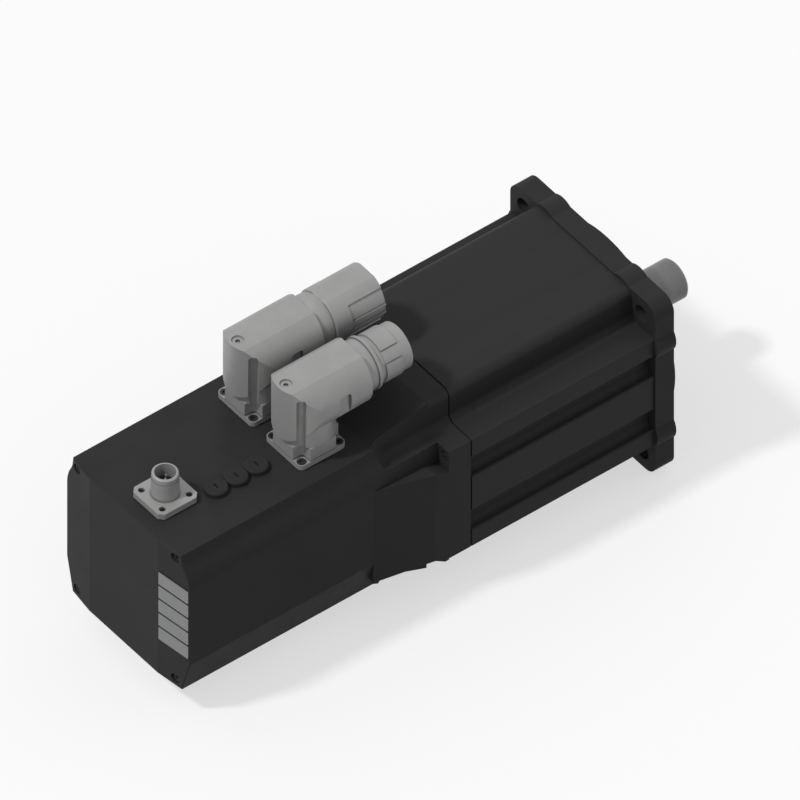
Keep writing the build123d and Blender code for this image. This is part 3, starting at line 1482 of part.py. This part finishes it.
# Power module, which gives its heat to the floor of the box
with BuildPart() as power_module:
    with BuildSketch(over(board_mid_x, 0, box_floor)):
        Rectangle(module_length, module_width)
    extrude(amount=power_board_z - box_floor)
keep(power_module, "power_module")

with BuildPart() as capacitors:
    with BuildSketch(over(board_mid_x, 0, power_board_top)):
        with GridLocations(capacitor_pitch, 0, capacitor_count, 1):
            Circle(capacitor_diameter / 2)
    extrude(amount=capacitor_height)
keep(capacitors, "capacitors")

# Terminal on the power board and the motor leads that end in it
terminal_x = board_front_x - terminal_length
with BuildPart() as power_terminal:
    with BuildSketch(over(terminal_x + terminal_length / 2, 0, power_board_top)):
        Rectangle(terminal_length, lead_notch_width)
    extrude(amount=terminal_height)
keep(power_terminal, "power_terminal")

lead_start_x = core_rear_x - coil_gap - edge_chamfer
lead_top_z = lead_z + lead_rise
with BuildPart() as motor_leads:
    for y in (-lead_spacing, 0, lead_spacing):
        with BuildLine() as route:
            FilletPolyline(
                (lead_start_x, y, lead_z),
                (cavity_front_x + 2 * lead_bend_radius, y, lead_z),
                (cavity_front_x, y, lead_top_z),
                (board_front_x, y, lead_top_z),
                radius=lead_bend_radius,
            )
        with BuildSketch(Plane(origin=(lead_start_x, y, lead_z), z_dir=(-1, 0, 0))):
            Circle(lead_diameter / 2)
        sweep(path=route.wires()[0])
keep(motor_leads, "motor_leads")
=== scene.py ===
import json
import math

import bpy
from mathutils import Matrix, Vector


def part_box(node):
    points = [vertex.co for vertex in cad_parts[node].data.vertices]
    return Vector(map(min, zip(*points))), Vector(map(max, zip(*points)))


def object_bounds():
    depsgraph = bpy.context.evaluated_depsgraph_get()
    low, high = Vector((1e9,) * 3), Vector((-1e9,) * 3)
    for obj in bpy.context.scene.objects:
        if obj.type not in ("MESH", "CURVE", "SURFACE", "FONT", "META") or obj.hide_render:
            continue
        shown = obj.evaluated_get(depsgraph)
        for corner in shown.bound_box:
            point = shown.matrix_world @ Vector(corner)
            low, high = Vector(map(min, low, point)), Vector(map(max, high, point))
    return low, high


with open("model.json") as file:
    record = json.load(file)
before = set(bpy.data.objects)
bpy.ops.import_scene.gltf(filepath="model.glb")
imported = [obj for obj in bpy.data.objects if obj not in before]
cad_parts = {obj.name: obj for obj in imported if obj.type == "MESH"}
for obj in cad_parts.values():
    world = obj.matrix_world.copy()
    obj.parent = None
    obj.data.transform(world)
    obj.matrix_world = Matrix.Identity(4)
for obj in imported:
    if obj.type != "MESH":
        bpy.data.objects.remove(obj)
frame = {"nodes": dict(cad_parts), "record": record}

cad_low, cad_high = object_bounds()

# Tones, as linear colours: each finish blends two close ones
PAINT_BLACK = (0.024, 0.024, 0.0242)
PAINT_WORN = (0.0285, 0.0285, 0.0288)
NICKEL = (0.335, 0.335, 0.332)
NICKEL_WORN = (0.31, 0.31, 0.307)
GROUND_STEEL = (0.168, 0.168, 0.168)
GROUND_STEEL_DARK = (0.136, 0.136, 0.136)
ZINC = (0.42, 0.42, 0.43)
ZINC_DARK = (0.33, 0.33, 0.34)
BLACK_OXIDE = (0.022, 0.022, 0.024)
BLACK_OXIDE_WORN = (0.045, 0.045, 0.048)
BAR_GREY = (0.25, 0.252, 0.255)
BAR_GREY_LIGHT = (0.262, 0.264, 0.267)
# painted shade along the edges of the status bars
BAR_EDGE_SHADE = (0.03, 0.03, 0.031)
RUBBER = (0.012, 0.012, 0.012)
RUBBER_DUSTY = (0.02, 0.02, 0.02)
INSULATOR = (0.02, 0.02, 0.021)
INSULATOR_LIGHT = (0.028, 0.028, 0.029)
GOLD = (0.75, 0.52, 0.2)
GOLD_DARK = (0.62, 0.42, 0.15)
COPPER = (0.62, 0.22, 0.09)
COPPER_DARK = (0.42, 0.13, 0.05)
LAMINATION = (0.2, 0.2, 0.21)
LAMINATION_DARK = (0.1, 0.1, 0.11)
ALUMINIUM = (0.6, 0.6, 0.61)
ALUMINIUM_DARK = (0.48, 0.48, 0.49)
BOARD_GREEN = (0.012, 0.11, 0.035)
BOARD_GREEN_DARK = (0.008, 0.07, 0.022)
CAN_SLEEVE = (0.015, 0.018, 0.03)
CAN_SLEEVE_LIGHT = (0.025, 0.03, 0.045)

# How a finish is drawn out: the share of its features that is left along X, Y and Z
EVEN_GRAIN = (1, 1, 1)
GRAIN_ALONG_X = (0.03, 1, 1)
GRAIN_ROUND_X = (1, 0.05, 0.05)
GRAIN_OF_SHEETS = (1, 0.02, 0.02)

# Noise: the band of most of its values, the part where two tones blend, its detail and the grain's strength
NOISE_BAND = (0.3, 0.7)
BLEND_BAND = (0.35, 0.65)
BLOTCH_DETAIL = 3.0
GRAIN_DETAIL = 2.0
GRAIN_STRENGTH = 0.5

# Painted shade in the inner corners of the plated pieces: how open a spot is where it is darkest and where
# there is none, and the share of its tone that is left where it is darkest
CORNER_BAND = (0.45, 0.95)
CORNER_SHARE = 0.3
CORNER_SAMPLES = 16

# Status bars: a line of painted shade along the edge where each one sinks into its slot, in metres
BAR_COUNT = 5
BAR_HEIGHT = 0.0077
BAR_LINE = 0.00025
BAR_LINE_BLUR = 0.00006

# Floor: near white where it is seen, with a glow that keeps the shadow soft, and a mid grey to the light
# that it throws back
FLOOR_SIZE = 12.0
FLOOR_SEEN = 0.93
FLOOR_THROWS = 0.25
FLOOR_GLOW = 0.6

# Light: a soft sun, high behind the drive box and a little to its +Y side, and an even white sky
TO_SUN = (-0.53, 0.14, 0.82)
SUN_STRENGTH = 1.72
SUN_SOFTNESS = math.radians(6)
SKY_STRENGTH = 0.54
SKY_SEEN = 1.0

# Camera: a parallel view from behind the drive box, on its -Y side and 45 degrees above
PHOTO_SIDE_PX = 800
PHOTO_PX_PER_M = 2360
CAMERA_AZIMUTH = math.radians(-38)
CAMERA_ELEVATION = math.radians(45)
CAMERA_AIM = (-0.1083, 0.0, 0.0177)
CAMERA_DISTANCE = 1.5

# Finishes. roughness is the least and the most; blotch and grain count features per metre;
# grain_depth and corner are in metres.
FINISHES = {
    "cast_paint": dict(
        tones=(PAINT_BLACK, PAINT_WORN), roughness=(0.55, 0.65), specular=0.1,
        blotch=60, grain=1400, grain_depth=0.00004,
    ),
    "extrusion_paint": dict(
        tones=(PAINT_BLACK, PAINT_WORN), roughness=(0.5, 0.6), specular=0.1,
        blotch=60, grain=1600, stretch=GRAIN_ALONG_X,
    ),
    # nickel gets painted shade in its inner corners (corner)
    "nickel": dict(
        tones=(NICKEL, NICKEL_WORN), roughness=(0.45, 0.55), metallic=0.25, specular=0.35,
        blotch=70, grain=2500, grain_depth=0.000012, corner=0.0012,
    ),
    "ground_steel": dict(
        tones=(GROUND_STEEL, GROUND_STEEL_DARK), roughness=(0.3, 0.42), metallic=0.4,
        blotch=200, grain=4000, grain_depth=0.000008, stretch=GRAIN_ROUND_X,
    ),
    "zinc": dict(
        tones=(ZINC, ZINC_DARK), roughness=(0.35, 0.5), metallic=0.6,
        blotch=300, grain=3000,
    ),
    "black_oxide": dict(
        tones=(BLACK_OXIDE, BLACK_OXIDE_WORN), roughness=(0.35, 0.5), metallic=0.3,
        blotch=300, grain=3000,
    ),
    "bar_plastic": dict(
        tones=(BAR_GREY, BAR_GREY_LIGHT), roughness=(0.32, 0.4), specular=0.3,
        blotch=120, grain=1200, grain_depth=0.000006,
    ),
    "rubber": dict(
        tones=(RUBBER, RUBBER_DUSTY), roughness=(0.75, 0.9), specular=0.2,
        blotch=200, grain=2500,
    ),
    "insulator": dict(
        tones=(INSULATOR, INSULATOR_LIGHT), roughness=(0.45, 0.6), specular=0.3,
        blotch=200, grain=2500,
    ),
    "gold": dict(
        tones=(GOLD, GOLD_DARK), roughness=(0.25, 0.35), metallic=1.0,
        blotch=400, grain=4000, grain_depth=0.000004,
    ),
    "copper": dict(
        tones=(COPPER, COPPER_DARK), roughness=(0.3, 0.45), metallic=0.8,
        blotch=200, grain=1800, grain_depth=0.0001, stretch=GRAIN_ALONG_X,
    ),
    "lamination": dict(
        tones=(LAMINATION, LAMINATION_DARK), roughness=(0.4, 0.55), metallic=0.8,
        blotch=900, grain=2000, grain_depth=0.00005, stretch=GRAIN_OF_SHEETS,
    ),
    "aluminium": dict(
        tones=(ALUMINIUM, ALUMINIUM_DARK), roughness=(0.3, 0.42), metallic=0.9,
        blotch=100, grain=3000, grain_depth=0.000008,
    ),
    "board": dict(
        tones=(BOARD_GREEN, BOARD_GREEN_DARK), roughness=(0.3, 0.4),
        blotch=500, grain=1200,
    ),
    "can_sleeve": dict(
        tones=(CAN_SLEEVE, CAN_SLEEVE_LIGHT), roughness=(0.3, 0.4),
        blotch=100, grain=900, grain_depth=0.00001,
    ),
}
FINISH_OF_SLOT = {
    "shell_black": "cast_paint",
    "cover_black": "cast_paint",
    "bars_grey": "bar_plastic",
    "shaft_steel": "ground_steel",
    "dark_steel": "black_oxide",
    "bright_steel": "zinc",
    "lamination_steel": "lamination",
    "magnet_metal": "aluminium",
    "copper": "copper",
    "bare_aluminium": "aluminium",
    "seal_rubber": "rubber",
    "lead_rubber": "rubber",
    "board_green": "board",
    "encoder_metal": "aluminium",
    "module_black": "insulator",
    "capacitor_skin": "can_sleeve",
    "connector_metal": "nickel",
    "insert_black": "insulator",
    "pin_brass": "gold",
}
# Nodes whose finish is not that of their slot
FINISH_OF_NODE = {
    "stator_housing": "extrusion_paint",
    "service_caps": "cast_paint",
    "housing_gasket": "cast_paint",
    "connector_screws": "black_oxide",
    "io_pins": "zinc",
    "power_elbow_screw": "nickel",
    "signal_elbow_screw": "nickel",
}


def object_place(tree):
    """The place of a spot in the piece's own metres."""
    return tree.nodes.new("ShaderNodeTexCoord").outputs["Object"]


def calculate(tree, operation, first, second):
    """A sum on an output and a second output or number."""
    node = tree.nodes.new("ShaderNodeMath")
    node.operation = operation
    tree.links.new(first, node.inputs[0])
    if isinstance(second, float):
        node.inputs[1].default_value = second
    else:
        tree.links.new(second, node.inputs[1])
    return node.outputs[0]


def map_band(tree, source, from_band, to_band):
    """Maps one band of values to another; past its ends the value stays the same."""
    node = tree.nodes.new("ShaderNodeMapRange")
    for socket_name, value in zip(("From Min", "From Max", "To Min", "To Max"), (*from_band, *to_band)):
        node.inputs[socket_name].default_value = value
    tree.links.new(source, node.inputs["Value"])
    return node.outputs["Result"]


def noise(tree, features, stretch, detail):
    """Noise with so many features per metre, drawn out by stretch."""
    mapping = tree.nodes.new("ShaderNodeMapping")
    mapping.inputs["Scale"].default_value = stretch
    texture = tree.nodes.new("ShaderNodeTexNoise")
    texture.inputs["Scale"].default_value = features
    texture.inputs["Detail"].default_value = detail
    tree.links.new(object_place(tree), mapping.inputs["Vector"])
    tree.links.new(mapping.outputs["Vector"], texture.inputs["Vector"])
    return texture.outputs["Fac"]


def blend_tones(tree, blotches, tones):
    """Two tones that pass into each other with the blotches."""
    ramp = tree.nodes.new("ShaderNodeValToRGB")
    for stop, position, tone in zip(ramp.color_ramp.elements, BLEND_BAND, tones):
        stop.position = position
        stop.color = (*tone, 1)
    tree.links.new(blotches, ramp.inputs["Fac"])
    return ramp.outputs["Color"]


def shade_inner_corners(tree, colour, reach):
    """Paints shade into a colour in a piece's own inner corners, darkest where the piece hems a spot in
    most.
    """
    openness = tree.nodes.new("ShaderNodeAmbientOcclusion")
    openness.samples = CORNER_SAMPLES
    openness.only_local = True
    openness.inputs["Distance"].default_value = reach
    share = map_band(tree, openness.outputs["AO"], CORNER_BAND, (CORNER_SHARE, 1.0))
    scaled = tree.nodes.new("ShaderNodeVectorMath")
    scaled.operation = "SCALE"
    tree.links.new(colour, scaled.inputs[0])
    tree.links.new(share, scaled.inputs["Scale"])
    return scaled.outputs["Vector"]


def roughen(tree, grain, grain_depth, stretch):
    """A fine relief on the surface."""
    bump = tree.nodes.new("ShaderNodeBump")
    bump.inputs["Strength"].default_value = GRAIN_STRENGTH
    bump.inputs["Distance"].default_value = grain_depth
    tree.links.new(noise(tree, grain, stretch, GRAIN_DETAIL), bump.inputs["Height"])
    return bump.outputs["Normal"]


def finish(name, tones, roughness, blotch, grain, grain_depth=0.00002, stretch=EVEN_GRAIN, metallic=0.0,
           specular=0.5, corner=0.0):
    """A surface finish: two close tones in soft blotches, a roughness that follows them, and a fine grain.

    corner is how far the painted shade reaches out of inner corners, or 0 where there is none.
    """
    material = bpy.data.materials.new(name)
    material.use_nodes = True
    tree = material.node_tree
    shader = tree.nodes["Principled BSDF"]
    shader.inputs["Metallic"].default_value = metallic
    shader.inputs["Specular IOR Level"].default_value = specular
    blotches = noise(tree, blotch, stretch, BLOTCH_DETAIL)
    colour = blend_tones(tree, blotches, tones)
    # painted shade in the piece's inner corners
    if corner:
        colour = shade_inner_corners(tree, colour, corner)
    tree.links.new(colour, shader.inputs["Base Color"])
    tree.links.new(map_band(tree, blotches, NOISE_BAND, roughness), shader.inputs["Roughness"])
    tree.links.new(roughen(tree, grain, grain_depth, stretch), shader.inputs["Normal"])
    return material


def colour_sockets(sockets):
    """The colour sockets of a Mix node, which has others of the same names."""
    return [socket for socket in sockets if socket.type == "RGBA"]


def shade_bar_edges(material, node_name):
    """Paints a line of shade along the upper and lower edge of each bar in an upright row."""
    low_corner, high_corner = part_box(node_name)
    pitch = (high_corner[2] - low_corner[2] - BAR_HEIGHT) / (BAR_COUNT - 1)
    line_start = BAR_HEIGHT / 2 - BAR_LINE
    tree = material.node_tree
    axes = tree.nodes.new("ShaderNodeSeparateXYZ")
    tree.links.new(object_place(tree), axes.inputs["Vector"])
    height = calculate(tree, "SUBTRACT", axes.outputs["Z"], low_corner[2] + BAR_HEIGHT / 2)
    from_middle = calculate(tree, "PINGPONG", height, pitch / 2)
    on_line = map_band(tree, from_middle, (line_start - BAR_LINE_BLUR, line_start), (0.0, 1.0))
    mix = tree.nodes.new("ShaderNodeMix")
    mix.data_type = "RGBA"
    face, edge = colour_sockets(mix.inputs)
    edge.default_value = (*BAR_EDGE_SHADE, 1)
    shader = tree.nodes["Principled BSDF"]
    tree.links.new(shader.inputs["Base Color"].links[0].from_socket, face)
    tree.links.new(on_line, mix.inputs["Factor"])
    tree.links.new(colour_sockets(mix.outputs)[0], shader.inputs["Base Color"])


def dress(node):
    """Gives a node of the frame its own finish, or else that of its slot."""
    look = FINISH_OF_NODE.get(node.name, FINISH_OF_SLOT[slot_of_node[node.name]])
    node.data.materials.clear()
    node.data.materials.append(finishes[look])


def when_seen(tree, otherwise, seen):
    """One value for the light on the object, another for what is seen, also in gloss or through glass."""
    path = tree.nodes.new("ShaderNodeLightPath")
    is_seen = path.outputs["Is Camera Ray"]
    for kind in ("Is Glossy Ray", "Is Transmission Ray"):
        is_seen = calculate(tree, "MAXIMUM", is_seen, path.outputs[kind])
    return map_band(tree, is_seen, (0.0, 1.0), (otherwise, seen))


def add_floor():
    """A plain pale floor under the object's lowest point."""
    bpy.ops.mesh.primitive_plane_add(size=FLOOR_SIZE, location=(CAMERA_AIM[0], 0, cad_low.z))
    floor = bpy.context.object
    floor.name = "floor"
    paper = bpy.data.materials.new("floor_paper")
    paper.use_nodes = True
    tree = paper.node_tree
    matte = tree.nodes["Principled BSDF"]
    matte.inputs["Roughness"].default_value = 1.0
    matte.inputs["Specular IOR Level"].default_value = 0.0
    glow = tree.nodes.new("ShaderNodeEmission")
    mix = tree.nodes.new("ShaderNodeMixShader")
    tree.links.new(when_seen(tree, FLOOR_THROWS, FLOOR_SEEN), matte.inputs["Base Color"])
    tree.links.new(when_seen(tree, 0.0, FLOOR_GLOW), mix.inputs["Fac"])
    tree.links.new(matte.outputs["BSDF"], mix.inputs[1])
    tree.links.new(glow.outputs["Emission"], mix.inputs[2])
    tree.links.new(mix.outputs["Shader"], tree.nodes["Material Output"].inputs["Surface"])
    floor.data.materials.append(paper)


def add_sky():
    """An even white sky."""
    world = bpy.data.worlds.new("studio")
    world.use_nodes = True
    tree = world.node_tree
    background = tree.nodes["Background"]
    background.inputs["Color"].default_value = (1, 1, 1, 1)
    tree.links.new(when_seen(tree, SKY_STRENGTH, SKY_SEEN), background.inputs["Strength"])
    bpy.context.scene.world = world


def place_in_scene(name, data, spot, facing):
    """Adds a lamp or camera at a spot and turns it to face along a direction."""
    thing = bpy.data.objects.new(name, data)
    bpy.context.scene.collection.objects.link(thing)
    thing.location = spot
    thing.rotation_euler = facing.to_track_quat("-Z", "Y").to_euler()
    return thing


def add_sun():
    """One soft sun."""
    sun = bpy.data.lights.new("sun", "SUN")
    sun.energy = SUN_STRENGTH
    sun.angle = SUN_SOFTNESS
    place_in_scene("sun", sun, Vector((0, 0, 0)), -Vector(TO_SUN))


def add_camera():
    """A camera with a parallel view at the photograph's scale."""
    to_camera = Vector((
        math.sin(CAMERA_AZIMUTH) * math.cos(CAMERA_ELEVATION),
        -math.cos(CAMERA_AZIMUTH) * math.cos(CAMERA_ELEVATION),
        math.sin(CAMERA_ELEVATION),
    ))
    camera = bpy.data.cameras.new("camera")
    camera.type = "ORTHO"
    camera.ortho_scale = PHOTO_SIDE_PX / PHOTO_PX_PER_M
    spot = Vector(CAMERA_AIM) + CAMERA_DISTANCE * to_camera
    bpy.context.scene.camera = place_in_scene("camera", camera, spot, -to_camera)


finishes = {name: finish(name, **look) for name, look in FINISHES.items()}
slot_of_node = {part["node"]: part["material_slot"] for part in frame["record"]["subparts"]}
for node in frame["nodes"].values():
    dress(node)
shade_bar_edges(finishes["bar_plastic"], "status_bars")
add_floor()
add_sky()
add_sun()
add_camera()
bpy.context.scene.view_settings.view_transform = "Standard"
